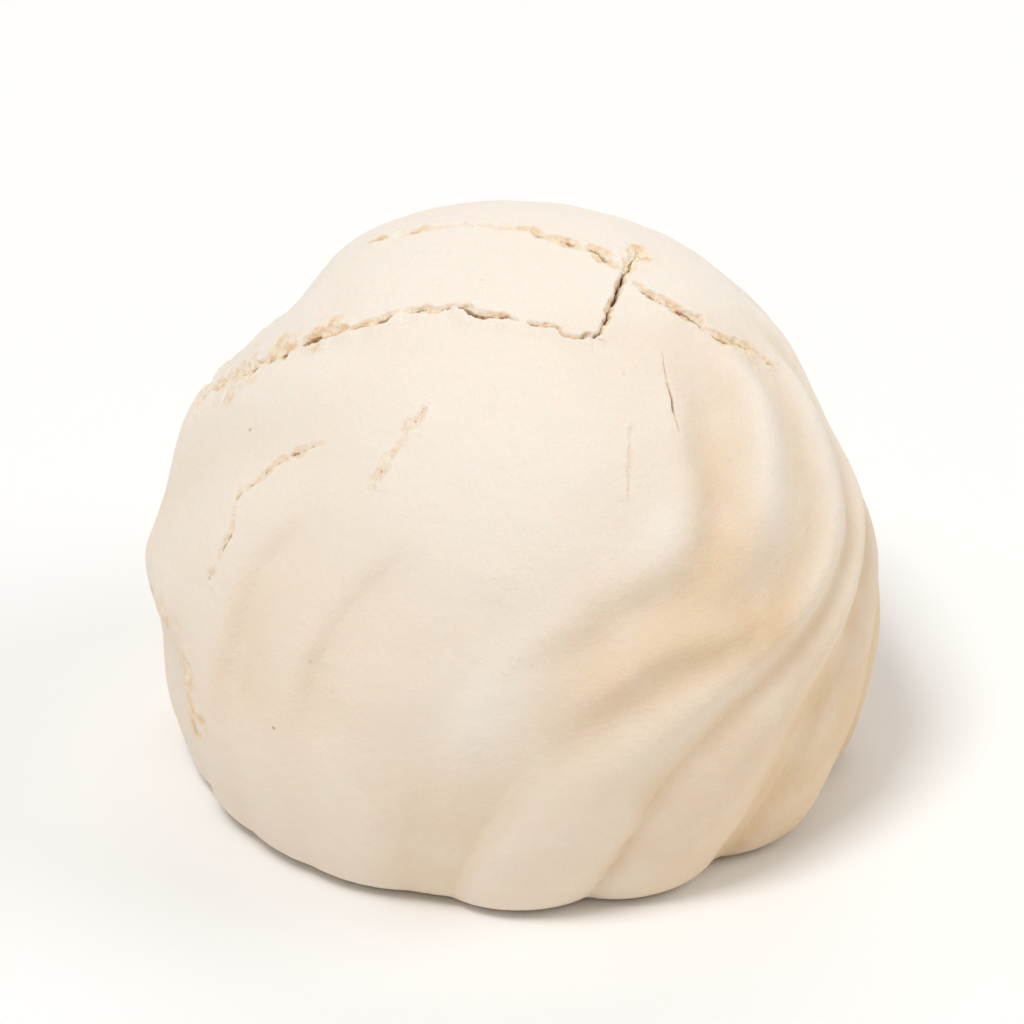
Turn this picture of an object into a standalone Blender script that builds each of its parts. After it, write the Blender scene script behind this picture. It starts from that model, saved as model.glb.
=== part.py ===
"""A piped meringue cookie: one baked piece with a flat foot, spiral flutes and a cracked crown.

Metres, +Z up. The origin is the middle of the flat foot, and -Y is the front.

Each point of the crust is worked out from a direction, seen from the middle of the dome's
widest level. The plain dome gives the point its place, and the relief then lifts it: the
flutes of the star nozzle turn round an eye that lies off the top, a broad smooth lobe
covers them at the front, and a cap of crust sits over their upper ends.
"""

import math

import bmesh
import bpy
import numpy as np

MM = 0.001

# The plain dome, without its flutes
DOME_RADIUS = 31.0 * MM
WIDEST_LEVEL = 19.0 * MM
DOME_HEIGHT = 49.2 * MM
FOOT_RADIUS = 26.4 * MM
FOOT_ROUNDING = 2.0 * MM
FOOT_CURVE = 2.2
FOOT_SINE = 0.6

# The swirl: its eye leans off the top, and its flutes turn clockwise on their way down
EYE_LEAN = math.radians(22.0)
EYE_SIDE = math.radians(-26.0)
# Each flute's crest: its side at mid height and its share of the turn, its start and end below the eye
# (degrees), and its height (mm)
FLUTES = ((-71, 0.92, 8, 66, 0.95), (-34, 0.95, 18, 180, 1.0), (-7, 1.00, 18, 180, 1.1),
          (20, 0.95, 20, 180, 1.1), (48, 0.90, 22, 180, 1.15), (76, 0.85, 24, 180, 1.15),
          (103, 0.80, 26, 180, 1.15), (130, 0.70, 28, 180, 1.1), (157, 0.60, 32, 180, 1.0),
          (185, 0.50, 36, 180, 0.9), (213, 0.40, 52, 180, 0.65), (231, 0.40, 56, 180, 0.5),
          (248, 0.42, 58, 180, 0.5), (266, 0.50, 60, 180, 0.5))
# How far a crest reaches to its left and right, and over how far it fades at its ends, in degrees
CREST_LEFT = 10.0
CREST_RIGHT = 8.5
FLUTE_FADE = 22.0
MID_ANGLE = 65.0
# Below this level the crests widen into round lobes that meet in sharp grooves
LOBED_LEVEL = 24.0 * MM
LOBED_HALF = 13.0
LOBED_POWER = 2.2
LOBED_GROWTH = 1.7
# How far the flutes have turned at each angle below the eye, in degrees
TURN = ((0, -22), (20, 0), (40, 28), (60, 50), (75, 85), (90, 105), (127, 120))
TURN_BLUR = np.linspace(-8.0, 8.0, 9)

# The lobe that the last of the paste left at the front
LOBE_MIDDLE = np.array((-1.5, -20.0, 41.0)) * MM
LOBE_REACH = 19.0 * MM
LOBE_HEIGHT = 1.0 * MM
LOBE_CALM = 0.9

# The cap over the flutes' upper ends, an oval in plan
CAP_MIDDLE = np.array((-3.0, 9.0)) * MM
CAP_HALF = np.array((25.0, 19.5)) * MM
CAP_HEIGHT = 0.3 * MM
CAP_LOWEST = 26.0 * MM
CAP_WHOLE = 36.0 * MM
CAP_EDGE = 4.0

# Dents, each with its middle, reach and depth in mm: the flats of both flanks, and the chipped lower left
DENTS = (((-27.0, 1.0, 36.0), 21.0, 1.7), ((-20.5, 14.5, 37.0), 12.0, 1.9), ((-19.5, 7.5, 40.5), 7.0, 1.0),
         ((-30.5, 8.0, 23.0), 8.0, 0.9), ((-30.0, -7.0, 13.5), 9.5, 2.0), ((-28.5, -8.0, 6.0), 8.0, 1.0),
         ((29.0, 9.5, 29.0), 14.0, 1.9), ((27.0, 4.0, 32.0), 24.0, 1.3))

# Folds of the paste: marks by side (degrees) and level (mm), then height and reach to the left and right (mm)
LOBE_EDGE = ((-37, 46.2), (-44, 43.8), (-49, 41.5), (-51, 38.8), (-57, 35.6), (-64, 33), (-73, 31), (-82, 29),
             (-90, 26), (-97, 20), (-103, 10))
LOBE_GROOVE = ((-18, 46.0), (-25, 44.7), (-30, 43.2), (-39, 40.8), (-46, 38.1), (-49, 34.5), (-53, 31.8),
               (-59, 30.1), (-66, 29.8), (-72, 29.4), (-80, 27.4), (-87, 25.7), (-95, 20.0))
LOW_RIDGE = ((-32, 26.5), (-40, 25.8), (-48, 25.6), (-54, 25.9), (-60, 26.3), (-66, 26.1), (-76, 23.5),
             (-86, 19.0))
LEFT_GROOVE = ((-125.7, 37.3), (-132, 33), (-137, 28.8), (-139.5, 21), (-142, 12))
MIDDLE_GROOVE = ((-104, 35.4), (-111, 33), (-116, 30.1), (-121.5, 24.5), (-125, 15))
SHOULDER = ((176, 21.5), (-178, 20.8), (-171, 19.9), (-163, 18.8), (-155, 18.0))
FOLDS = ((LOBE_EDGE, 0.35, 3.2, 2.2), (LOBE_GROOVE, -0.85, 2.3, 2.6), (LOW_RIDGE, 0.75, 1.8, 1.8),
         (LEFT_GROOVE, -0.80, 3.4, 1.1), (MIDDLE_GROOVE, -0.70, 3.4, 1.1), (SHOULDER, 0.65, 4.0, 2.5))
FOLD_STEP = 0.5 * MM
FOLD_TAPER = 0.3

# The cracks: plan points from end to end (mm), width at the crust and depth
CROWN_CRACK = ((-26.8, 3.6), (-21.0, -3.4), (-16.7, -5.4), (-12.7, -7.0), (-6.9, -7.6), (-3.5, -8.8),
               (-0.7, -9.8), (5.1, -11.3), (7.3, -9.9), (8.8, -4.8), (10.8, 4.0))
TOP_CRACK = ((-12.8, 6.8), (-8.4, 6.2), (-4.1, 4.8), (0.7, 3.3), (6.6, 0.8), (9.3, -1.2))
SIDE_CRACK = ((11.6, -3.4), (15.3, -4.3), (17.8, -4.6), (20.9, -2.5), (22.5, -2.6))
LEFT_CRACK = ((-15.5, -16.4), (-19.1, -15.2), (-21.5, -15.1), (-23.0, -14.8), (-23.4, -16.2), (-25.6, -16.1))
BACK_CRACK = ((-26.4, 7.0), (-25.0, 13.0), (-20.5, 18.5), (-14.0, 22.5))
REAR_CRACK = ((5.0, 22.0), (10.5, 23.0), (17.5, 21.0), (22.5, 17.5))
CRACKS = (
    (CROWN_CRACK, 1.0 * MM, 1.3 * MM),
    (TOP_CRACK, 0.7 * MM, 0.7 * MM),
    (SIDE_CRACK, 0.9 * MM, 0.8 * MM),
    (LEFT_CRACK, 0.4 * MM, 0.6 * MM),
    (BACK_CRACK, 0.8 * MM, 0.9 * MM),
    (REAR_CRACK, 0.8 * MM, 0.8 * MM),
)
CRACK_STEP = 1.5 * MM
CRACK_TIP = 0.2
CUTTER_RISE = 1.0 * MM
CUTTER_FLOOR = 0.25

# The mesh
STEPS_PER_FLUTE = 7
RINGS = 38
FOOT_RINGS = 3
EYE_HOLE = math.radians(1.0)
EDGE_ANGLE = math.radians(40.0)

LEAN_AXIS = np.array((-math.sin(EYE_SIDE), math.cos(EYE_SIDE), 0.0))
FOOT_ANGLE = math.pi - math.acos(FOOT_SINE)
ROUND_ANGLE = math.pi - math.acos(FOOT_SINE * (1 - FOOT_ROUNDING / WIDEST_LEVEL))


def eased(fraction):
    """0 to 1 with level ends."""
    fraction = np.clip(fraction, 0.0, 1.0)
    return fraction * fraction * (3.0 - 2.0 * fraction)


def bump(off, left, right):
    """A rounded ridge's height across its line."""
    return np.exp(-(off / np.where(off < 0, left, right)) ** 2)


def turned(directions, angle):
    """The directions, turned about the level axis that the swirl leans round."""
    cosine = np.cos(angle)[:, None]
    sine = np.sin(angle)[:, None]
    along = (directions @ LEAN_AXIS)[:, None] * LEAN_AXIS
    return directions * cosine + np.cross(LEAN_AXIS, directions) * sine + along * (1 - cosine)


def lean(directions):
    """How far the swirl leans at a direction: fully at the eye, and not at all at the foot."""
    return EYE_LEAN * eased((directions[:, 2] + FOOT_SINE) / (math.cos(EYE_LEAN) + FOOT_SINE))


def leaned(directions):
    """Directions counted from the eye, brought to where they are on the dome."""
    found = directions
    for _ in range(30):
        found = turned(directions, lean(found))
    return found


def dome(directions):
    """The plain dome's points."""
    height = directions[:, 2]
    level = np.sqrt(np.clip(1.0 - height**2, 1e-12, None))
    rise = np.where(height > 0, (DOME_HEIGHT - WIDEST_LEVEL) * height, WIDEST_LEVEL * height / FOOT_SINE)
    drop = np.clip(-rise / WIDEST_LEVEL, 0.0, 1.0)
    rounding = np.clip(FOOT_ROUNDING - (WIDEST_LEVEL + rise), 0.0, FOOT_ROUNDING)
    side = DOME_RADIUS - (DOME_RADIUS - FOOT_RADIUS) * drop**FOOT_CURVE
    side = side - FOOT_ROUNDING + np.sqrt(FOOT_ROUNDING**2 - rounding**2)
    radius = np.where(height > 0, DOME_RADIUS * level, side)
    out = directions[:, :2] / level[:, None]
    return np.concatenate((out * radius[:, None], (WIDEST_LEVEL + rise)[:, None]), axis=1)


def outward(directions):
    """The way the relief lifts the crust: out of the dome, and level near the foot."""
    way = directions / np.array((DOME_RADIUS, DOME_RADIUS, DOME_HEIGHT - WIDEST_LEVEL))
    way[:, 2] = np.clip(way[:, 2], 0.0, None)
    return way / np.linalg.norm(way, axis=1)[:, None]


def on_flank(marks):
    """Places on the dome given by side (degrees) and level (mm)."""
    side, level = np.array(marks, float).T
    above = level * MM - WIDEST_LEVEL
    height = np.where(above > 0, above / (DOME_HEIGHT - WIDEST_LEVEL), above / WIDEST_LEVEL * FOOT_SINE)
    wide = np.sqrt(1.0 - height**2)
    return dome(np.stack((wide * np.cos(np.radians(side)), wide * np.sin(np.radians(side)), height), axis=1))


def curve_through(places):
    """A smooth line through places, with points about a step apart."""
    ends = np.concatenate((2 * places[:1] - places[1:2], places, 2 * places[-1:] - places[-2:-1]))
    line = []
    for before, start, stop, after in zip(ends, ends[1:], ends[2:], ends[3:]):
        count = max(2, round(np.linalg.norm(stop - start) / FOLD_STEP))
        t = np.linspace(0.0, 1.0, count, endpoint=False)[:, None]
        curved = 2 * before - 5 * start + 4 * stop - after
        twisted = 3 * start - before - 3 * stop + after
        line.append(0.5 * (2 * start + (stop - before) * t + curved * t**2 + twisted * t**3))
    return np.concatenate(line + [places[-1:]])


def off_line(points, line):
    """How far each point lies off a line, more than 0 to its right, and its share of the way along it."""
    squares = ((points[:, None] - line) ** 2).sum(axis=2)
    nearest = squares.argmin(axis=1)
    right = np.cross(np.gradient(line, axis=0)[nearest], points - (0.0, 0.0, WIDEST_LEVEL))
    side = np.sign((right * (points - line[nearest])).sum(axis=1))
    return side * np.sqrt(squares.min(axis=1)), nearest / (len(line) - 1)


def turn_at(down):
    """How far the flutes have turned at an angle below the eye, in degrees, counted from mid height."""
    angles, turns = np.array(TURN, float).T
    blurred = sum(np.interp(down + shift, angles, turns) for shift in TURN_BLUR) / len(TURN_BLUR)
    return blurred - np.interp(MID_ANGLE, angles, turns)


def flutes(directions):
    """The lift of the nozzle's flutes."""
    swirl = turned(directions, -lean(directions))
    down = np.degrees(np.arccos(np.clip(swirl[:, 2], -1.0, 1.0)))
    around = np.degrees(np.arctan2(swirl[:, 1], swirl[:, 0]))
    turn = turn_at(down)
    lift = np.zeros(len(down))
    lobed = np.zeros(len(down))
    for side, share, start, end, height in FLUTES:
        off = (side - share * turn - around + 180.0) % 360.0 - 180.0
        faded = height * MM * eased((down - start) / FLUTE_FADE) * eased((end - down) / FLUTE_FADE)
        lift += faded * bump(off, CREST_LEFT, CREST_RIGHT)
        lobed = np.maximum(lobed, faded * (1 - np.clip(np.abs(off) / LOBED_HALF, 0.0, 1.0) ** LOBED_POWER))
    lower = eased(1.0 - dome(directions)[:, 2] / LOBED_LEVEL)
    return lift + (LOBED_GROWTH * lobed - lift) * lower


def crust(directions):
    """The crust's points, with flutes, lobe, cap, dents and folds."""
    points = dome(directions)
    lobe = eased(1.25 * (1.0 - np.linalg.norm(points - LOBE_MIDDLE, axis=1) / LOBE_REACH))
    off_cap = np.linalg.norm((points[:, :2] - CAP_MIDDLE) / CAP_HALF, axis=1)
    above = eased((points[:, 2] - CAP_LOWEST) / (CAP_WHOLE - CAP_LOWEST))
    cap = eased((1.0 - off_cap) * CAP_EDGE + 0.5) * above
    lift = flutes(directions) * (1.0 - LOBE_CALM * lobe) * (1.0 - cap)
    lift = lift + LOBE_HEIGHT * lobe + CAP_HEIGHT * cap
    for middle, reach, depth in DENTS:
        gone = np.linalg.norm(points - np.array(middle) * MM, axis=1) / (reach * MM)
        lift -= depth * MM * eased(1.0 - gone)
    for marks, height, left, right in FOLDS:
        away, along = off_line(points, curve_through(on_flank(marks)))
        taper = eased(along / FOLD_TAPER) * eased((1.0 - along) / FOLD_TAPER)
        lift += height * MM * bump(away, left * MM, right * MM) * taper
    return points + outward(directions) * lift[:, None]


def clear_scene():
    for found in list(bpy.data.objects):
        bpy.data.objects.remove(found, do_unlink=True)


def finish(name, color, roughness):
    """A matte material for one sub-part."""
    material = bpy.data.materials.new(name)
    material.use_nodes = True
    shader = material.node_tree.nodes["Principled BSDF"]
    shader.inputs["Base Color"].default_value = (*color, 1.0)
    shader.inputs["Roughness"].default_value = roughness
    shader.inputs["Metallic"].default_value = 0.0
    return material


def add_object(name, shape, material):
    mesh = bpy.data.meshes.new(name)
    shape.to_mesh(mesh)
    shape.free()
    mesh.materials.append(material)
    piece = bpy.data.objects.new(name, mesh)
    bpy.context.scene.collection.objects.link(piece)
    return piece


def along_flutes(directions):
    """Evenly spread directions, moved so that their columns run along the flutes, as many to each flute."""
    sides, shares = np.array(FLUTES, float).T[:2]
    sides = np.append(sides, sides[0] + 360.0)
    shares = np.append(shares, shares[0])
    down = np.arccos(np.clip(directions[:, 2], -1.0, 1.0))
    column = np.arctan2(directions[:, 1], directions[:, 0]) % math.tau / math.tau * len(FLUTES)
    numbers = np.arange(len(FLUTES) + 1)
    share = np.interp(column, numbers, shares)
    around = np.radians(np.interp(column, numbers, sides) - share * turn_at(np.degrees(down)))
    return np.stack((np.sin(down) * np.cos(around), np.sin(down) * np.sin(around), np.cos(down)), axis=1)


def piped_body(material):
    """The meringue's body: an arc from the eye to the foot, spun round and shaped."""
    angles = np.concatenate((
        np.linspace(EYE_HOLE, ROUND_ANGLE, RINGS),
        np.linspace(ROUND_ANGLE, FOOT_ANGLE, FOOT_RINGS + 1)[1:],
    ))
    shape = bmesh.new()
    arc = [shape.verts.new((math.sin(angle), 0.0, math.cos(angle))) for angle in angles]
    edges = [shape.edges.new(pair) for pair in zip(arc, arc[1:])]
    bmesh.ops.spin(shape, geom=arc + edges, cent=(0, 0, 0), axis=(0, 0, 1), angle=math.tau,
                   steps=STEPS_PER_FLUTE * len(FLUTES), use_merge=True)
    bmesh.ops.remove_doubles(shape, verts=shape.verts, dist=1e-5)

    directions = along_flutes(np.array([vert.co for vert in shape.verts]))
    for vert, place in zip(shape.verts, crust(leaned(directions))):
        vert.co = place

    rims = [edge for edge in shape.edges if edge.is_boundary]
    bmesh.ops.holes_fill(shape, edges=rims, sides=0)
    bmesh.ops.recalc_face_normals(shape, faces=shape.faces)
    body = add_object("meringue", shape, material)
    body.data.shade_smooth()
    body.data.set_sharp_from_angle(angle=EDGE_ANGLE)
    return body


def crack_line(plan):
    """Directions along a crack, a step apart, from its plan points in millimetres."""
    corners = np.array(plan) * MM
    spans = np.linalg.norm(np.diff(corners, axis=0), axis=1)
    marks = np.concatenate(((0.0,), np.cumsum(spans)))
    stations = np.linspace(0.0, marks[-1], round(marks[-1] / CRACK_STEP) + 1)
    line = np.stack([np.interp(stations, marks, corners[:, axis]) for axis in (0, 1)], axis=1) / DOME_RADIUS
    height = np.sqrt(1.0 - (line**2).sum(axis=1))
    return np.concatenate((line, height[:, None]), axis=1)


def crack_cutter(name, plan, width, depth, material):
    """A wedge along a crack: four corners at each station, joined and closed at both ends."""
    directions = crack_line(plan)
    places = crust(directions)
    out = outward(directions)
    along = np.gradient(places, axis=0)
    across = np.cross(along, out)
    across = across / np.linalg.norm(across, axis=1)[:, None]
    opening = np.sin(np.linspace(0.0, math.pi, len(places))) ** 0.5 * (1 - CRACK_TIP) + CRACK_TIP
    shape = bmesh.new()
    loops = []
    for place, way, side, open_here in zip(places, out, across, opening):
        half = 0.5 * width * open_here
        top = place + way * CUTTER_RISE
        bottom = place - way * depth * open_here
        wide = half * (1 + CUTTER_RISE / (depth * open_here))
        corners = (top + side * wide, top - side * wide, bottom - side * half * CUTTER_FLOOR,
                   bottom + side * half * CUTTER_FLOOR)
        loops.append([shape.verts.new(corner) for corner in corners])
    for this, following in zip(loops, loops[1:]):
        for index in range(4):
            after = (index + 1) % 4
            shape.faces.new((this[index], this[after], following[after], following[index]))
    shape.faces.new(loops[0])
    shape.faces.new(loops[-1])
    bmesh.ops.triangulate(shape, faces=shape.faces)
    bmesh.ops.recalc_face_normals(shape, faces=shape.faces)
    cutter = add_object(name, shape, material)
    cutter.hide_render = True
    cutter.display_type = "WIRE"
    return cutter


def cut(body, cutter):
    modifier = body.modifiers.new(cutter.name, "BOOLEAN")
    modifier.operation = "DIFFERENCE"
    modifier.solver = "EXACT"
    modifier.object = cutter


def main():
    clear_scene()
    crust_finish = finish("baked_crust", (0.86, 0.76, 0.62), 0.85)
    body = piped_body(crust_finish)
    for number, (plan, width, depth) in enumerate(CRACKS):
        cut(body, crack_cutter(f"crack_cutter_{number}", plan, width, depth, crust_finish))


main()
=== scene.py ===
"""Looks of a piped meringue cookie: a dry ivory crust with soft spiral flutes, a smooth lobe
at the front, and cracks over the crown that show the honey-coloured crumb.

Metres, +Z up. The meringue stands on z = 0, and -Y is its front.

The crust is a ball that is cut off at the foot, made finer along the cracks, and then shaped:
every point of the ball is a direction, the plain dome gives that direction its place, and the
relief lifts or sinks it.
"""

import math
from collections import namedtuple

import bpy
import numpy as np
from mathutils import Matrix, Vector, noise


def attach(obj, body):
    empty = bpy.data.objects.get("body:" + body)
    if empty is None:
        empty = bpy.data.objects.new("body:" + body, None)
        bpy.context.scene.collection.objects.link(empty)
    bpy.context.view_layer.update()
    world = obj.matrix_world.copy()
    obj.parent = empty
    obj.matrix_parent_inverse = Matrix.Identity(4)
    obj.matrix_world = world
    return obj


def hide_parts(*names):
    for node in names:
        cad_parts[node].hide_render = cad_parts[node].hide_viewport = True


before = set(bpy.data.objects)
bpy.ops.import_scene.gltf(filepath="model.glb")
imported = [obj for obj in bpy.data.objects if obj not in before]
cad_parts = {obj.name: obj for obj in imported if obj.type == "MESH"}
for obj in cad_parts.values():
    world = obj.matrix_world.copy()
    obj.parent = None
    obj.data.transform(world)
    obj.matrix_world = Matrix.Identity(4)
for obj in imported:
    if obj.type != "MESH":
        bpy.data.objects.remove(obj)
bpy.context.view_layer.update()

MM = 0.001
# The cracks wander the same way in every run
CRACK_SEED = 260
noise.seed_set(CRACK_SEED)
VIEW_RISE = math.radians(30.4)
TOWARDS_VIEW = np.array((0.0, -math.cos(VIEW_RISE), math.sin(VIEW_RISE)))

# The plain dome
DOME_RADIUS = 31.0 * MM
WIDEST_LEVEL = 19.0 * MM
DOME_HEIGHT = 49.2 * MM
FOOT_RADIUS = 26.4 * MM
FOOT_ROUNDING = 2.0 * MM
FOOT_CURVE = 2.2
FOOT_SINE = 0.6

# The swirl's eye leans off the top, this far and to this side
EYE_LEAN = math.radians(22.0)
EYE_SIDE = math.radians(-26.0)
LEAN_AXIS = np.array((-math.sin(EYE_SIDE), math.cos(EYE_SIDE), 0.0))

# The flutes' crests: side at mid height and share of the turn, start and end below the eye (degrees), height (mm)
FLUTES = ((-71, 0.92, 8, 66, 0.95), (-34, 0.95, 18, 180, 1.0), (-7, 1.00, 18, 180, 1.1), (20, 0.95, 20, 180, 1.1),
          (48, 0.90, 22, 180, 1.15), (76, 0.85, 24, 180, 1.15), (103, 0.80, 26, 180, 1.15),
          (130, 0.70, 28, 180, 1.1), (157, 0.60, 32, 180, 1.0), (185, 0.50, 36, 180, 0.9),
          (213, 0.40, 52, 180, 0.65), (231, 0.40, 56, 180, 0.5), (248, 0.42, 58, 180, 0.5),
          (266, 0.50, 60, 180, 0.5))
MID_ANGLE = 65.0
CREST_LEFT = 10.0
CREST_RIGHT = 8.5
FLUTE_FADE = 22.0
# Towards the foot the crests widen into round lobes that meet in sharp grooves
LOBED_LEVEL = 24.0 * MM
LOBED_HALF = 13.0
LOBED_POWER = 2.2
LOBED_GROWTH = 1.7
# How far the flutes have turned clockwise at each angle below the eye, in degrees, and how it is blurred
TURN = ((0, -22), (20, 0), (40, 28), (60, 50), (75, 85), (90, 105), (127, 120))
TURN_BLUR = np.linspace(-8.0, 8.0, 9)

# The lobe that the last of the paste left at the front, and the cap of crust over the flutes' upper ends
LOBE_MIDDLE = np.array((-1.5, -20.0, 41.0)) * MM
LOBE_REACH = 19 * MM
LOBE_HEIGHT = 1.0 * MM
LOBE_CALM = 0.9
CAP_MIDDLE = np.array((-3.0, 9.0)) * MM
CAP_HALF = np.array((25.0, 19.5)) * MM
CAP_HEIGHT = 0.3 * MM
CAP_LOWEST = 26 * MM
CAP_WHOLE = 36 * MM
CAP_EDGE = 4.0
# How much painted shade, with some toasting, the valleys between the flutes get in the crust's colour
HOLLOW_BETWEEN = 0.6

# Dents: middle, reach and depth, in mm. The flat of the left flank, and the chipped place below it
DENTS = (((-27.0, 1.0, 36.0), 21.0, 1.7), ((-20.5, 14.5, 37.0), 12.0, 1.9), ((-19.5, 7.5, 40.5), 7.0, 1.0),
         ((-30.5, 8.0, 23.0), 8.0, 0.9), ((-30.0, -7.0, 13.5), 9.5, 2.0), ((-28.5, -8.0, 6.0), 8.0, 1.0),
         ((29.0, 9.5, 29.0), 14.0, 1.9), ((27.0, 4.0, 32.0), 24.0, 1.3))

# Ridges and grooves that the paste left: marks by side (degrees) and level (mm), then height and widths to the
# left and right (mm), and how much painted shade, with some toasting, their tone adds (below zero, a painted highlight)
LOBE_EDGE = ((-37, 46.2), (-44, 43.8), (-49, 41.5), (-51, 38.8), (-57, 35.6), (-64, 33), (-73, 31), (-82, 29),
             (-90, 26), (-97, 20), (-103, 10))
LOBE_GROOVE = ((-18, 46.0), (-25, 44.7), (-30, 43.2), (-39, 40.8), (-46, 38.1), (-49, 34.5), (-53, 31.8), (-59, 30.1),
               (-66, 29.8), (-72, 29.4), (-80, 27.4), (-87, 25.7), (-95, 20.0))
LOW_RIDGE = ((-32, 26.5), (-40, 25.8), (-48, 25.6), (-54, 25.9), (-60, 26.3), (-66, 26.1), (-76, 23.5), (-86, 19.0))
LEFT_GROOVE = ((-125.7, 37.3), (-132, 33), (-137, 28.8), (-139.5, 21), (-142, 12))
MIDDLE_GROOVE = ((-104, 35.4), (-111, 33), (-116, 30.1), (-121.5, 24.5), (-125, 15))
SHOULDER = ((176, 21.5), (-178, 20.8), (-171, 19.9), (-163, 18.8), (-155, 18.0))
FOLDS = ((LOBE_EDGE, 0.5, 2.8, 2.0, -0.5), (LOBE_GROOVE, -0.85, 2.3, 2.6, 1.1), (LOW_RIDGE, 0.75, 1.8, 1.8, 0.9),
         (LEFT_GROOVE, -0.80, 3.4, 1.1, 0.8), (MIDDLE_GROOVE, -0.70, 3.4, 1.1, 0.7), (SHOULDER, 0.65, 4.0, 2.5, 0.1))
FOLD_REACH = 10 * MM
FOLD_TAPER = 0.3
# How much wider than the fold its painted tone is
TONE_REACH = 1.7

# A crack: its marks in plan (mm), the half widths of its crumb and of its dark core (painted shade in the gap) from end
# to end (mm), the core's depth, the lips' heights to its left and right, how far it wanders (mm) and how much crumb it
# shows
Crack = namedtuple("Crack", "marks band core depth lips wander shown")
CROWN_CRACK = Crack(
    ((-27.4, 6.0), (-26.6, 3.2), (-21.0, -3.4), (-16.7, -5.4), (-12.7, -7.0), (-6.9, -7.6), (-3.5, -8.8),
     (-0.7, -9.8), (3.6, -10.5), (5.1, -11.3), (7.4, -10.4)),
    (1.2, 1.2, 1.1, 0.85, 0.6, 0.42, 0.34, 0.45, 0.36, 0.25, 0.18),
    (0.05, 0.1, 0.16, 0.2, 0.16, 0.1, 0.12, 0.16, 0.18, 0.15, 0.18),
    0.9, (0.12, 0.28), 0.45, 0.9)
HOOK_CRACK = Crack(((6.9, -11.0), (7.7, -9.0), (8.8, -4.8), (9.7, -1.2), (10.8, 4.0)),
                   (0.15, 0.25, 0.25, 0.45, 0.9), (0.09, 0.15, 0.12, 0.10, 0.08), 1.0, (0.1, 0.18), 0.25, 0.8)
TOP_CRACK = Crack(((-12.8, 6.8), (-8.4, 6.0), (-4.1, 4.8), (0.7, 3.3), (3.6, 2.1), (6.6, 0.8), (9.4, -1.4)),
                  (0.2, 0.6, 0.6, 0.35, 0.5, 0.7, 0.7), (0.05, 0.12, 0.1, 0.05, 0.08, 0.1, 0.1), 0.45,
                  (0.15, 0.1), 0.45, 0.8)
SIDE_CRACK = Crack(((10.2, -2.4), (11.4, -3.6), (15.3, -4.3), (17.8, -4.9), (20.9, -2.5), (23.0, -2.6)),
                   (0.5, 0.7, 0.95, 0.7, 0.5, 0.2), (0.06, 0.1, 0.2, 0.16, 0.1, 0.05), 0.7, (0.15, 0.2), 0.35, 1.0)
LEFT_CRACK = Crack(((-15.2, -16.2), (-19.1, -15.2), (-21.5, -15.1), (-23.0, -14.8), (-23.4, -16.2), (-25.6, -16.1)),
                   (0.2, 0.4, 0.35, 0.2, 0.35, 0.35), (0.03, 0.06, 0.06, 0.04, 0.06, 0.12), 0.5, (0.1, 0.05), 0.3, 0.45)
EYE_CREASE = Crack(((12.6, -9.6), (13.1, -13.0), (13.9, -16.4)), (0.1, 0.15, 0.1), (0.05, 0.09, 0.05), 0.35,
                   (0.0, 0.1), 0.15, 0.3)
PALE_CREASE = Crack(((9.9, -17.4), (9.7, -19.5), (9.8, -22.4)), (0.2, 0.3, 0.2), (0.0, 0.0, 0.0), 0.4,
                    (0.0, 0.1), 0.15, 0.3)
SCRATCH = Crack(((-7.4, -16.8), (-8.2, -18.4), (-9.9, -19.4), (-11.6, -21.2)), (0.2, 0.55, 0.2, 0.6, 0.3),
                (0.0, 0.05, 0.0, 0.05, 0.0), 0.3, (0.1, 0.05), 0.7, 0.35)
BACK_CRACK = Crack(((-27.4, 6.0), (-25.5, 13.0), (-20.5, 19.5), (-13.0, 23.5)), (1.2, 1.0, 0.6, 0.2),
                   (0.12, 0.2, 0.15, 0.05), 0.9, (0.15, 0.25), 0.5, 0.9)
REAR_CRACK = Crack(((4.0, 22.0), (10.5, 23.0), (17.5, 21.0), (23.5, 17.5)), (0.3, 0.7, 0.8, 0.2),
                   (0.08, 0.2, 0.2, 0.05), 0.8, (0.2, 0.15), 0.5, 0.9)
CRACKS = (CROWN_CRACK, HOOK_CRACK, TOP_CRACK, SIDE_CRACK, LEFT_CRACK, EYE_CREASE, PALE_CREASE, SCRATCH, BACK_CRACK,
          REAR_CRACK)
CRACK_REACH = 5 * MM
CRACK_ENDS = 0.05
LINE_STEP = 0.2 * MM
CORE_WALL = 0.10 * MM
BAND_SINK = 0.22
BAND_SOFT = 0.35 * MM
LIP_WIDTH = 1.0 * MM
JAG_SIZE = 1.7 * MM
OPENING_SIZE = 2.2 * MM
CRUMB_PATCHINESS = 1.1 * MM

# Rough places where crumb shows: middle, reach (mm) and strength
PATCHES = (((10.8, 3.0, 47.5), 1.9, 0.9), ((-23.8, -1.6, 38.5), 4.0, 0.5), ((-29.6, -10.5, 19.5), 3.0, 0.75),
           ((-28.0, -13.6, 16.5), 3.2, 0.75), ((-27.4, -13.8, 11.5), 4.0, 0.8), ((20.5, -3.4, 42.0), 2.4, 0.5),
           ((-16.5, -5.2, 44.4), 2.4, 0.75), ((-19.8, -3.0, 41.5), 2.4, 0.75))

# The mesh: how fine the ball is, and how near the cracks' crumb or core (mm) it is divided further
BALL_FINENESS = 7
FINER_NEAR = (("band", 1.6), ("band", 0.35), ("core", 0.22))

CRUMB_GRAIN = 0.75 * MM
CRUMB_PITS = 0.35 * MM
CRUMB_ROUGHNESS = 0.35 * MM
LUMP_SIZE = 8.0 * MM
LUMPS = 0.45 * MM
SKIN_SIZE = 2.2 * MM
SKIN = 0.08 * MM
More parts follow.
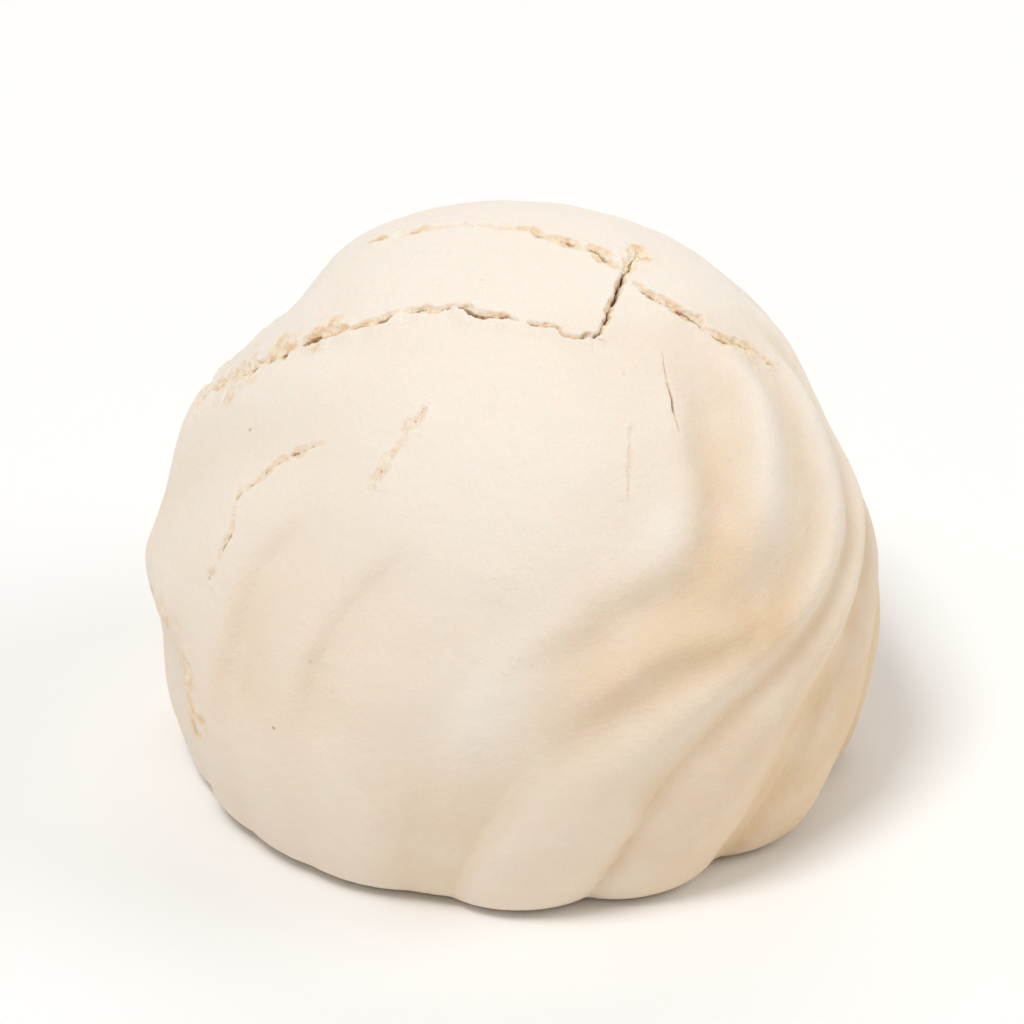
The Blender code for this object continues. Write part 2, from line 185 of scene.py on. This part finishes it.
# Places where the skin of the crust has flaked: middle and reach (mm)
FLAKED = (((-23.5, -4.0, 39.0), 9.0), ((-28.5, -9.0, 14.0), 10.0), ((-12.0, -19.0, 41.0), 5.0), ((20.0, -1.0, 43.0), 6.0),
          ((11.0, 2.0, 48.0), 5.0), ((-16.0, 24.0, 36.0), 9.0))
FLAKE_SIZE = 1.4 * MM
FLAKES = 0.22 * MM

CHUNK = 20000


def eased(fraction):
    """0 to 1 with level ends."""
    fraction = np.clip(fraction, 0.0, 1.0)
    return fraction * fraction * (3.0 - 2.0 * fraction)


def bump(off, left, right):
    """A rounded ridge's height across its line."""
    return np.exp(-(off / np.where(off < 0, left, right)) ** 2)


def turned(directions, angle):
    """Directions turned about the level axis that the swirl leans round."""
    cosine = np.cos(angle)[..., None]
    sine = np.sin(angle)[..., None]
    along = (directions @ LEAN_AXIS)[..., None] * LEAN_AXIS
    return directions * cosine + np.cross(LEAN_AXIS, directions) * sine + along * (1 - cosine)


def dome(directions):
    """The plain dome's points."""
    height = directions[:, 2]
    level = np.sqrt(np.clip(1.0 - height**2, 1e-12, None))
    rise = np.where(height > 0, (DOME_HEIGHT - WIDEST_LEVEL) * height, WIDEST_LEVEL * height / FOOT_SINE)
    drop = np.clip(-rise / WIDEST_LEVEL, 0.0, 1.0)
    rounding = np.clip(FOOT_ROUNDING - (WIDEST_LEVEL + rise), 0.0, FOOT_ROUNDING)
    side = DOME_RADIUS - (DOME_RADIUS - FOOT_RADIUS) * drop**FOOT_CURVE
    side = side - FOOT_ROUNDING + np.sqrt(FOOT_ROUNDING**2 - rounding**2)
    radius = np.where(height > 0, DOME_RADIUS * level, side)
    out = directions[:, :2] / level[:, None]
    return np.concatenate((out * radius[:, None], (WIDEST_LEVEL + rise)[:, None]), axis=1)


def outward(directions):
    """The way the relief lifts the crust: out of the dome, and level near the foot."""
    way = directions / np.array((DOME_RADIUS, DOME_RADIUS, DOME_HEIGHT - WIDEST_LEVEL))
    way[:, 2] = np.clip(way[:, 2], 0.0, None)
    return way / np.linalg.norm(way, axis=1)[:, None]


def on_flank(marks):
    """Places on the dome given by side (degrees) and level (mm)."""
    side, level = np.array(marks, float).T
    above = level * MM - WIDEST_LEVEL
    height = np.where(above > 0, above / (DOME_HEIGHT - WIDEST_LEVEL), above / WIDEST_LEVEL * FOOT_SINE)
    wide = np.sqrt(1.0 - height**2)
    return dome(np.stack((wide * np.cos(np.radians(side)), wide * np.sin(np.radians(side)), height), axis=1))


def on_crown(marks):
    """Places on the dome's upper half given by their plan, in mm."""
    plan = np.array(marks, float) * MM / DOME_RADIUS
    height = np.sqrt(np.clip(1.0 - (plan**2).sum(axis=1), 0.0, None))
    return dome(np.concatenate((plan, height[:, None]), axis=1))


def curve_through(places):
    """A smooth line through places, with points about LINE_STEP apart."""
    ends = np.concatenate((2 * places[:1] - places[1:2], places, 2 * places[-1:] - places[-2:-1]))
    line = []
    for before, start, stop, after in zip(ends, ends[1:], ends[2:], ends[3:]):
        count = max(2, round(np.linalg.norm(stop - start) / LINE_STEP))
        t = np.linspace(0.0, 1.0, count, endpoint=False)[:, None]
        line.append(0.5 * (2 * start + (stop - before) * t + (2 * before - 5 * start + 4 * stop - after) * t**2
                           + (3 * start - before - 3 * stop + after) * t**3))
    return np.concatenate(line + [places[-1:]])


def stroke(points, line, reach):
    """The points within reach of a line: which they are, how far off it to the right, and the line's nearest point."""
    near = np.flatnonzero(((points > line.min(axis=0) - reach) & (points < line.max(axis=0) + reach)).all(axis=1))
    forward = np.gradient(line, axis=0)
    away = np.empty(len(near))
    nearest = np.empty(len(near), int)
    for first in range(0, len(near), CHUNK):
        part = slice(first, first + CHUNK)
        places = points[near[part]]
        squares = ((places[:, None] - line) ** 2).sum(axis=2)
        found = squares.argmin(axis=1)
        across = np.cross(forward[found], places - (0.0, 0.0, WIDEST_LEVEL))
        side = np.sign((across * (places - line[found])).sum(axis=1))
        away[part] = side * np.sqrt(squares.min(axis=1))
        nearest[part] = found
    return near, away, nearest


def pattern(points, size, shift=0.0):
    """Smooth random values, about -1 to 1, at points."""
    return np.array([noise.noise(Vector(point) / size + Vector((shift, 0, 0))) for point in points]) * 1.6


def crack_line(crack):
    """A crack's jagged line over the dome."""
    line = curve_through(on_crown(crack.marks))
    shift = np.array([noise.noise_vector(Vector(point) / JAG_SIZE) + 0.5 * noise.noise_vector(Vector(point) / JAG_SIZE * 3)
                      for point in line])
    return line + shift * crack.wander * MM


def along_line(values, nearest, count):
    """The value at each nearest point, for values spread evenly from a line's start to its end."""
    return np.interp(nearest, np.linspace(0, count - 1, len(values)), values)


def flutes(directions):
    """The lift of the nozzle's flutes."""
    lean = EYE_LEAN * eased((directions[:, 2] + FOOT_SINE) / (math.cos(EYE_LEAN) + FOOT_SINE))
    swirl = turned(directions, -lean)
    down = np.degrees(np.arccos(np.clip(swirl[:, 2], -1, 1)))
    around = np.degrees(np.arctan2(swirl[:, 1], swirl[:, 0]))
    angles, turns = np.array(TURN, float).T
    turn = sum(np.interp(down + shift, angles, turns) for shift in TURN_BLUR) / len(TURN_BLUR)
    turn -= np.interp(MID_ANGLE, angles, turns)
    lift = np.zeros(len(down))
    lobed = np.zeros(len(down))
    for side, share, start, end, height in FLUTES:
        off = (side - share * turn - around + 180) % 360 - 180
        fade = eased((down - start) / FLUTE_FADE) * eased((end - down) / FLUTE_FADE)
        lift += height * MM * fade * bump(off, CREST_LEFT, CREST_RIGHT)
        lobed = np.maximum(lobed, height * MM * fade * (1 - np.clip(np.abs(off) / LOBED_HALF, 0, 1) ** LOBED_POWER))
    lower = eased(1 - dome(directions)[:, 2] / LOBED_LEVEL)
    return lift + (LOBED_GROWTH * lobed - lift) * lower


def paste(directions, points):
    """The lift of the piped paste: flutes, lobe, cap, folds and dents. Then its painted shade, with some toasting,
    in the grooves and folds: 0 on a flute's crest, and below zero, a painted highlight, on a ridge kept pale."""
    lobe = eased(1.25 * (1 - np.linalg.norm(points - LOBE_MIDDLE, axis=1) / LOBE_REACH))
    off_cap = np.linalg.norm((points[:, :2] - CAP_MIDDLE) / CAP_HALF, axis=1)
    above = eased((points[:, 2] - CAP_LOWEST) / (CAP_WHOLE - CAP_LOWEST))
    cap = eased((1 - off_cap) * CAP_EDGE + 0.5) * above
    fluted = (1 - LOBE_CALM * lobe) * (1 - cap)
    crests = flutes(directions)
    lift = crests * fluted + LOBE_HEIGHT * lobe + CAP_HEIGHT * cap
    # Painted shade, with some toasting, in the valleys between the flutes
    hollow_shade = HOLLOW_BETWEEN * fluted * np.clip(1 - crests / (0.8 * MM), 0, 1)
    for middle, reach, depth in DENTS:
        gone = np.linalg.norm(points - np.array(middle) * MM, axis=1) / (reach * MM)
        lift -= depth * MM * eased(1 - gone)
    for marks, height, left, right, shade_and_toast in FOLDS:
        line = curve_through(on_flank(marks))
        near, away, nearest = stroke(points, line, FOLD_REACH)
        along = nearest / (len(line) - 1)
        taper = eased(along / FOLD_TAPER) * eased((1 - along) / FOLD_TAPER)
        lift[near] += height * MM * bump(away, left * MM, right * MM) * taper
        # The fold's painted tone: shade, with some toasting, in a groove, and a painted highlight where the value is
        # below zero
        tone = bump(away, left * TONE_REACH * MM, right * TONE_REACH * MM) * taper
        hollow_shade[near] += (shade_and_toast - hollow_shade[near]) * tone
    return lift, hollow_shade


def crack_open(points):
    """What the cracks do at each point: lift, crumb that shows and the core's darkness, painted shade in the gap."""
    lift = np.zeros(len(points))
    crumb = np.zeros(len(points))
    dark = np.zeros(len(points))
    for crack in CRACKS:
        line = crack_line(crack)
        near, away, nearest = stroke(points, line, CRACK_REACH)
        count = len(line)
        along = nearest / (count - 1)
        taper = eased(along / CRACK_ENDS) * eased((1 - along) / CRACK_ENDS)
        opening = pattern(line, OPENING_SIZE)[nearest]
        ragged = pattern(points[near], CRUMB_PATCHINESS, 7.0)
        off = np.abs(away)
        band = along_line(crack.band, nearest, count) * MM * (1 + 0.6 * ragged + 0.3 * opening)
        core = along_line(crack.core, nearest, count) * MM * np.clip(0.9 + 1.1 * opening, 0.35, 2)
        in_band = eased((band - off) / BAND_SOFT + 0.5) * taper
        in_core = eased((core - off) / CORE_WALL + 0.5) * (core > 0.02 * MM) * taper
        lip = np.where(away > 0, crack.lips[1], crack.lips[0]) * (1 + 0.5 * opening)
        rim = np.exp(-(np.maximum(off - band, 0) / LIP_WIDTH) ** 2) * (1 - in_band)
        lift[near] += (lip * rim * taper - crack.depth * BAND_SINK * in_band - crack.depth * in_core) * MM
        patchy = eased(0.75 + 0.9 * opening + 0.5 * ragged)
        crumb[near] = np.maximum(crumb[near], in_band * crack.shown * (0.25 + 0.75 * patchy))
        dark[near] = np.maximum(dark[near], in_core)
    for middle, reach, strength in PATCHES:
        gone = np.linalg.norm(points - np.array(middle) * MM, axis=1) / (reach * MM)
        near = np.flatnonzero(gone < 1.4)
        ragged = pattern(points[near], CRUMB_PATCHINESS * 1.5, 3.0)
        crumb[near] = np.maximum(crumb[near], strength * eased(1.6 * (1 - gone[near]) + 0.9 * ragged))
    return lift, crumb, dark


def select_only(*objects):
    bpy.ops.object.select_all(action="DESELECT")
    for piece in objects:
        piece.select_set(True)
        bpy.context.view_layer.objects.active = piece


def read(items, name, width):
    values = np.empty(len(items) * width)
    items.foreach_get(name, values)
    return values.reshape(-1, width) if width > 1 else values


def subdivide_where(piece, chosen):
    """Divides these faces and brings every corner back onto the ball."""
    mesh = piece.data
    mesh.vertices.foreach_set("select", np.zeros(len(mesh.vertices), bool))
    mesh.edges.foreach_set("select", np.zeros(len(mesh.edges), bool))
    mesh.polygons.foreach_set("select", chosen)
    bpy.ops.object.mode_set(mode="EDIT")
    bpy.ops.mesh.subdivide(number_cuts=1)
    bpy.ops.mesh.select_all(action="DESELECT")
    bpy.ops.object.mode_set(mode="OBJECT")
    corners = read(mesh.vertices, "co", 3)
    mesh.vertices.foreach_set("co", (corners / np.linalg.norm(corners, axis=1)[:, None]).ravel())


def near_cracks(piece, part, margin):
    """Which faces of the ball lie over the cracks' crumb or core, or within a margin (mm) of it."""
    middles = read(piece.data.polygons, "center", 3)
    points = dome(middles / np.linalg.norm(middles, axis=1)[:, None])
    chosen = np.zeros(len(points), bool)
    for crack in CRACKS:
        line = crack_line(crack)
        near, away, nearest = stroke(points, line, CRACK_REACH)
        half = along_line(getattr(crack, part), nearest, len(line))
        chosen[near[np.abs(away) < (half + margin) * MM]] = True
    return chosen


def ball_blank():
    """A ball, cut off at the foot, finer along the cracks."""
    bpy.ops.object.select_all(action="DESELECT")
    bpy.ops.mesh.primitive_ico_sphere_add(subdivisions=BALL_FINENESS, radius=1.0)
    blank = bpy.context.active_object
    blank.name = "meringue_crust"
    bpy.ops.object.mode_set(mode="EDIT")
    bpy.ops.mesh.select_all(action="SELECT")
    bpy.ops.mesh.bisect(plane_co=(0, 0, -FOOT_SINE), plane_no=(0, 0, -1), clear_outer=True, use_fill=False)
    bpy.ops.mesh.select_all(action="DESELECT")
    bpy.ops.object.mode_set(mode="OBJECT")
    for part, margin in FINER_NEAR:
        subdivide_where(blank, near_cracks(blank, part, margin))
    return blank


def corner_group(piece, name, weights):
    """A vertex group, its weights in sixteenths."""
    group = piece.vertex_groups.new(name=name)
    steps = np.round(weights * 16).astype(int)
    for step in range(1, 17):
        group.add(np.flatnonzero(steps == step).tolist(), step / 16, "REPLACE")


def corner_values(piece, name, values):
    """Named values on the corners, for the material."""
    attribute = piece.data.attributes.new(name, "FLOAT", "POINT")
    attribute.data.foreach_set("value", values.astype(np.float32))


def roughen(piece, name, kind, size, strength, group=""):
    """Pushes the crust out and in by a pattern, where the group has weight."""
    texture = bpy.data.textures.new(name, kind)
    texture.noise_scale = size
    push = piece.modifiers.new(name, "DISPLACE")
    push.texture = texture
    push.texture_coords = "LOCAL"
    push.strength = strength
    push.mid_level = 0.5
    push.vertex_group = group
    bpy.ops.object.modifier_apply(modifier=name)


def meringue_crust():
    piece = ball_blank()
    directions = read(piece.data.vertices, "co", 3)
    foot = directions[:, 2] < -FOOT_SINE + 1e-4
    points = dome(directions)
    lift, hollow_shade = paste(directions, points)
    opened, crumb, dark = crack_open(points)
    points = points + outward(directions) * (lift + opened)[:, None]
    points[foot, 2] = 0.0
    piece.data.vertices.foreach_set("co", points.ravel())
    piece.data.update()

    corner_group(piece, "crumb", crumb)
    corner_group(piece, "above_foot", eased(points[:, 2] / (4 * MM)))
    gone = [np.linalg.norm(points - np.array(middle) * MM, axis=1) / (reach * MM) for middle, reach in FLAKED]
    corner_group(piece, "flaked", eased(1 - np.min(gone, axis=0)))
    corner_values(piece, "crumb_shown", crumb)
    corner_values(piece, "core_shade", dark)
    corner_values(piece, "hollow_shade", hollow_shade)
    roughen(piece, "lumps", "CLOUDS", LUMP_SIZE, LUMPS, "above_foot")
    roughen(piece, "skin", "CLOUDS", SKIN_SIZE, SKIN, "above_foot")
    roughen(piece, "flakes", "CLOUDS", FLAKE_SIZE, FLAKES, "flaked")
    roughen(piece, "crumb_grain", "VORONOI", CRUMB_GRAIN, CRUMB_ROUGHNESS, "crumb")
    roughen(piece, "crumb_pits", "CLOUDS", CRUMB_PITS, CRUMB_ROUGHNESS, "crumb")

    bpy.ops.object.mode_set(mode="EDIT")
    bpy.ops.mesh.select_all(action="SELECT")
    bpy.ops.mesh.fill_holes(sides=0)
    bpy.ops.mesh.mark_sharp()
    bpy.ops.mesh.select_all(action="SELECT")
    bpy.ops.mesh.normals_make_consistent(inside=False)
    bpy.ops.object.mode_set(mode="OBJECT")
    bpy.ops.object.shade_smooth()
    return piece


class Signal:
    """A shader value that takes Python's arithmetic."""

    def __init__(self, tree, socket):
        self.tree = tree
        self.socket = socket

    def math(self, operation, *values):
        return add_node(self.tree, "ShaderNodeMath", {"operation": operation}, dict(enumerate(values)))

    def __add__(self, other):
        return self.math("ADD", self, other)

    def __sub__(self, other):
        return self.math("SUBTRACT", self, other)

    def __rsub__(self, other):
        return self.math("SUBTRACT", other, self)

    def __mul__(self, other):
        return self.math("MULTIPLY", self, other)

    __radd__ = __add__
    __rmul__ = __mul__


def add_node(tree, kind, settings, inputs, output=0):
    """One node: its settings first, then its inputs' values or links. Gives an output as a Signal."""
    node = tree.nodes.new(kind)
    for name, value in settings.items():
        setattr(node, name, value)
    for name, value in inputs.items():
        if isinstance(value, Signal):
            tree.links.new(value.socket, node.inputs[name])
        else:
            node.inputs[name].default_value = value
    return Signal(tree, node.outputs[output])


def baked_crust():
    material = bpy.data.materials.new("baked_crust")
    material.use_nodes = True
    tree = material.node_tree
    shader = tree.nodes["Principled BSDF"]

    def node(kind, settings=None, output=0, **inputs):
        named = {name.replace("_", " "): value for name, value in inputs.items()}
        return add_node(tree, kind, settings or {}, named, output)

    def mix(share, one, other):
        return add_node(tree, "ShaderNodeMix", {"data_type": "RGBA", "clamp_factor": True},
                        {0: share, 6: one, 7: other}, 2)

    def ramp(value, start, stop):
        return node("ShaderNodeMapRange", {"interpolation_type": "SMOOTHSTEP"}, Value=value, From_Min=start,
                    From_Max=stop)

    place = node("ShaderNodeTexCoord", output="Object")
    crumb = node("ShaderNodeAttribute", {"attribute_name": "crumb_shown"}, "Fac")
    core = node("ShaderNodeAttribute", {"attribute_name": "core_shade"}, "Fac")
    hollow_shade = node("ShaderNodeAttribute", {"attribute_name": "hollow_shade"}, "Fac")
    level = node("ShaderNodeSeparateXYZ", output="Z", Vector=place)
    side = node("ShaderNodeSeparateXYZ", output="X", Vector=place)
    broad = node("ShaderNodeTexNoise", Vector=place, Scale=70.0, Detail=3.0)
    tint = node("ShaderNodeTexNoise", Vector=place, Scale=180.0, Detail=4.0)
    grain = node("ShaderNodeTexNoise", Vector=place, Scale=900.0, Detail=4.0, Roughness=0.6)
    fine = node("ShaderNodeTexNoise", Vector=place, Scale=3000.0, Detail=2.0, Roughness=0.6)

    # Pinholes: pits in the bump, painted a darker tan as shade inside them
    cell = node("ShaderNodeTexVoronoi", Vector=place, Scale=420.0, Randomness=1.0)
    pinhole = ramp(cell, 0.10, 0.04) * ramp(broad, 0.60, 0.70)
    # Tan towards the foot is partly the bake's own colour. The extra tan on the right, lowest down and in the grooves
    # and folds is painted shade, and a ridge with a tone below zero gets a painted highlight. The broad noise is random
    # tone.
    low_down = ramp(level, 0.044, 0.004)
    to_right = ramp(side, -0.008, 0.034)
    lowest = ramp(level, 0.034, 0.010)
    toast_and_shade = (low_down * (0.24 + to_right * 0.5) + lowest * to_right * 0.3 + (broad - 0.5) * 0.15
             + hollow_shade * (0.26 + to_right * 0.5 + low_down * 0.3))
    base = mix(toast_and_shade, (0.93, 0.835, 0.735, 1), (0.80, 0.60, 0.39, 1))
    base = mix(ramp(tint, 0.42, 0.7) * 0.3, base, (0.93, 0.82, 0.70, 1))
    honey = mix(ramp(grain, 0.35, 0.62), (0.80, 0.53, 0.28, 1), (0.92, 0.78, 0.58, 1))
    color = mix(pinhole, mix(crumb * ramp(tint, 0.2, 0.5), base, honey), (0.62, 0.42, 0.24, 1))
    # The cracks' cores are painted dark brown: painted shade in the narrow gaps
    color = mix(core * 0.8, color, (0.42, 0.25, 0.12, 1))
    tree.links.new(color.socket, shader.inputs["Base Color"])
    tree.links.new(node("ShaderNodeBump", Height=fine * 0.5 + grain - pinhole, Strength=0.5, Distance=0.0003).socket,
                   shader.inputs["Normal"])
    shader.inputs["Roughness"].default_value = 0.82
    shader.inputs["Specular IOR Level"].default_value = 0.25
    shader.inputs["Subsurface Weight"].default_value = 0.3
    shader.inputs["Subsurface Radius"].default_value = (1.0, 0.55, 0.3)
    shader.inputs["Subsurface Scale"].default_value = 0.0015
    return material


def plain_material(name, color, roughness):
    material = bpy.data.materials.new(name)
    material.use_nodes = True
    shader = material.node_tree.nodes["Principled BSDF"]
    shader.inputs["Base Color"].default_value = (*color, 1)
    shader.inputs["Roughness"].default_value = roughness
    return material


def studio_light(name, strength, softness, place):
    """A soft light from far off, in the direction of a place seen from the meringue."""
    light = bpy.data.lights.new(name, "SUN")
    light.energy = strength
    light.angle = math.radians(softness)
    lamp = bpy.data.objects.new(name, light)
    bpy.context.scene.collection.objects.link(lamp)
    lamp.location = place
    lamp.rotation_euler = Vector(place).to_track_quat("Z", "Y").to_euler()


def studio_world():
    """Even white light, with a brighter backdrop behind the floor."""
    world = bpy.data.worlds.new("studio")
    world.use_nodes = True
    tree = world.node_tree
    seen = add_node(tree, "ShaderNodeLightPath", {}, {}, "Is Camera Ray")
    background = tree.nodes["Background"]
    background.inputs["Color"].default_value = BACKDROP
    tree.links.new((AMBIENT + seen * (1 - AMBIENT)).socket, background.inputs["Strength"])
    bpy.context.scene.world = world


AMBIENT = 0.45
BACKDROP = (0.97, 0.965, 0.95, 1)

crust = meringue_crust()
crust.data.materials.append(baked_crust())
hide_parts("meringue")
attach(crust, "root")
print("CRUST", len(crust.data.polygons), "faces")

bpy.ops.object.select_all(action="DESELECT")
bpy.ops.mesh.primitive_plane_add(size=40)
floor = bpy.context.active_object
floor.name = "floor"
floor.data.materials.append(plain_material("floor", (0.93, 0.925, 0.91), 0.9))

middle = Vector((0, 0, 0.0235))
studio_light("key", 1.54, 20, (-0.36, -0.42, 1.2))
studio_light("side", 0.6, 35, (1.0, 0.0, 0.8))
studio_light("back", 0.35, 35, (0.1, 1.0, 0.9))
studio_world()
bpy.context.scene.view_settings.view_transform = "Standard"

lens = bpy.data.cameras.new("camera")
lens.lens = 409
lens.clip_end = 100
camera = bpy.data.objects.new("camera", lens)
bpy.context.scene.collection.objects.link(camera)
camera.location = middle + Vector(TOWARDS_VIEW)
camera.rotation_euler = Vector(-TOWARDS_VIEW).to_track_quat("-Z", "Y").to_euler()
bpy.context.scene.camera = camera
